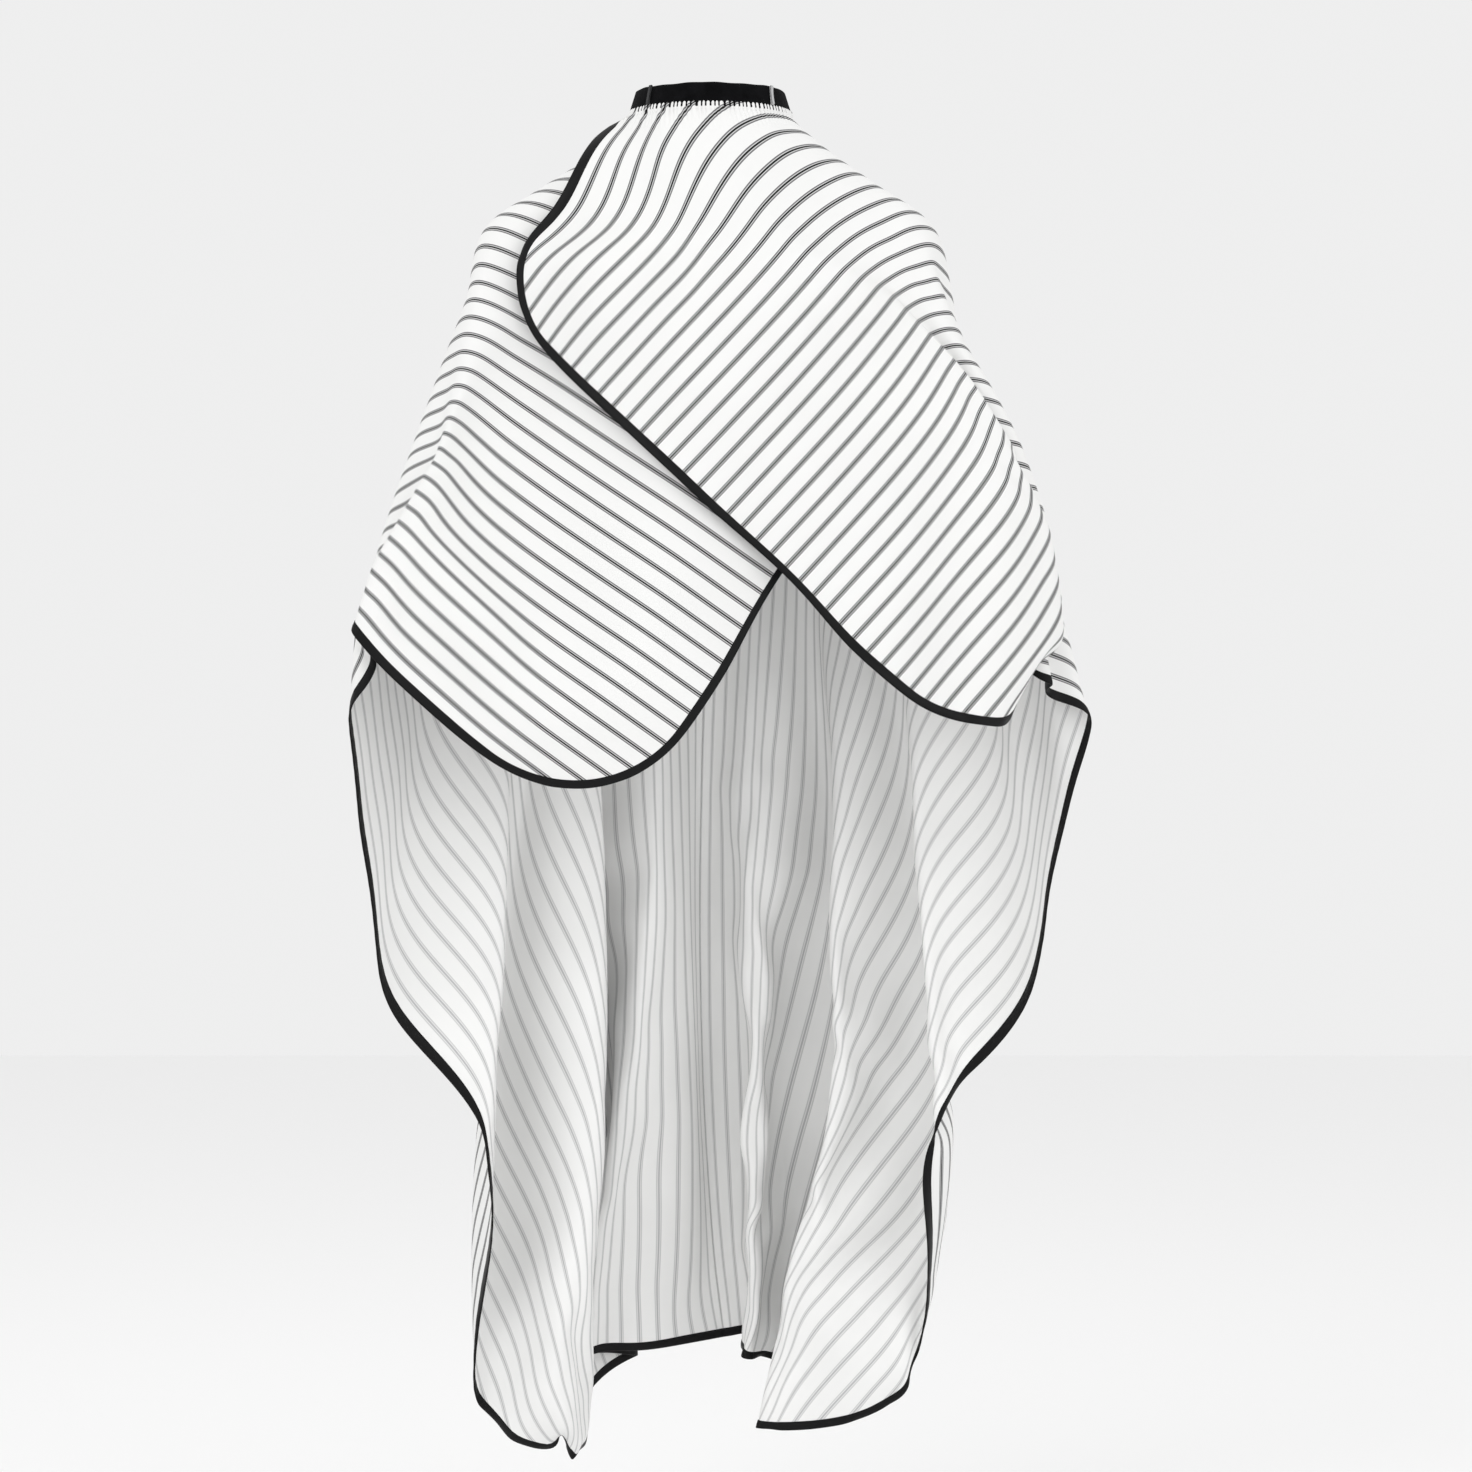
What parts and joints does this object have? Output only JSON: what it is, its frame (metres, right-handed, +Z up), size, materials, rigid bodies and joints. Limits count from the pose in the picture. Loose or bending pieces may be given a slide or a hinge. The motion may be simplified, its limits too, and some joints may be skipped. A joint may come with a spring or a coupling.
{
  "type": "barber cape",
  "caption": "Wrap-back salon cape in striped cloth with a gathered black neckband, lapped back flaps, black edge tape and a long front panel, shown as worn.",
  "frame": {"origin": "centre of the neck opening at the height of the neckband", "axes": "+Z up along the neck, +Y towards the wearer's front, +X towards the wearer's right, so the lapped back faces -Y"},
  "size_m": [0.66, 0.5927, 1.3066],
  "materials": {
    "striped_cloth": "smooth woven polyester, white with fine black and grey woven stripes, matte",
    "edge_tape": "black folded bias tape, satin",
    "band_cloth": "black brushed knit, matte",
    "lining_cloth": "soft dark knit, matte",
    "interlining": "white woven elastic, matte",
    "closure_loop": "black loop pile tape, matte",
    "closure_hook": "black nylon hook tape",
    "ribbon_dark": "dark grey satin ribbon",
    "ribbon_light": "light grey satin ribbon"
  },
  "bodies": {
    "cape": {"front_panel": "striped_cloth", "left_drape": "striped_cloth", "right_drape": "striped_cloth", "under_flap": "striped_cloth", "front_hem_tape": "edge_tape", "left_edge_tape": "edge_tape", "right_edge_tape": "edge_tape", "under_flap_tape": "edge_tape", "neckband": "band_cloth", "neck_lining": "lining_cloth", "band_core": "interlining", "neck_gather": "striped_cloth", "loop_tape": "closure_loop"},
    "over_flap": {"over_flap": "striped_cloth", "over_flap_tape": "edge_tape", "neckband_end": "band_cloth", "band_end_core": "interlining", "neck_gather_end": "striped_cloth", "hook_tape": "closure_hook"},
    "hanger_loop_left": {"hanger_loop_left": "ribbon_dark"},
    "hanger_loop_right": {"hanger_loop_right": "ribbon_light"}
  },
  "joints": [
    {"name": "over_flap_open", "type": "hinge", "parent": "cape", "child": "over_flap", "pos_m": [0.06768, -0.03907, -0.00837], "axis": [-0.2619, 0.1512, 0.9532], "range_deg": [0, 65]},
    {"name": "hanger_loop_left_lift", "type": "hinge", "parent": "over_flap", "child": "hanger_loop_left", "pos_m": [-0.05536, -0.04728, 0.01609], "axis": [-0.6494, 0.7604, 0], "range_deg": [0, 150]},
    {"name": "hanger_loop_right_lift", "type": "hinge", "parent": "over_flap", "child": "hanger_loop_right", "pos_m": [0.05776, -0.04432, 0.01609], "axis": [-0.6088, -0.7934, 0], "range_deg": [0, 150]}
  ]
}
